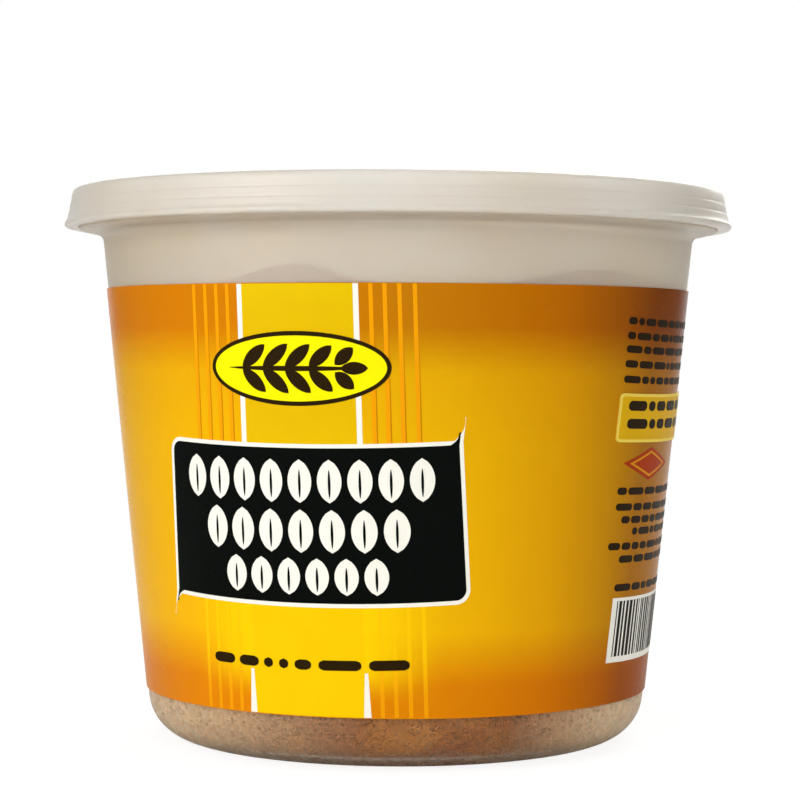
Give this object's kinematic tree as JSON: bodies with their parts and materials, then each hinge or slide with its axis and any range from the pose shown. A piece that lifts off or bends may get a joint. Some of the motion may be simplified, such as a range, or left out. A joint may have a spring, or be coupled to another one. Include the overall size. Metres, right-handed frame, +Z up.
{
  "type": "lidded tub of jaggery",
  "caption": "Round tapered frosted plastic food tub with a snap lid, a printed wrap label, a small date sticker and set brown jaggery inside.",
  "frame": {"origin": "middle of the tub's foot, on the surface it stands on", "axes": "+Z up the tub's axis; -Y is the side seen from the front, with the front panel turned 18 degrees towards -X; +X is to the right seen from the front"},
  "size_m": [0.1062, 0.1062, 0.0867],
  "materials": {
    "frosted_plastic": "milky frosted polypropylene, half see-through",
    "lid_plastic": "milky polypropylene with a soft gloss, half see-through",
    "jaggery": "dull, coarse set raw sugar",
    "label_print": "glossy printed film in amber, orange and yellow",
    "sticker_print": "satin printed sticker"
  },
  "bodies": {
    "root": {"tub": "frosted_plastic", "lid": "lid_plastic", "jaggery": "jaggery", "label": "label_print", "date_sticker": "sticker_print"}
  },
  "joints": []
}
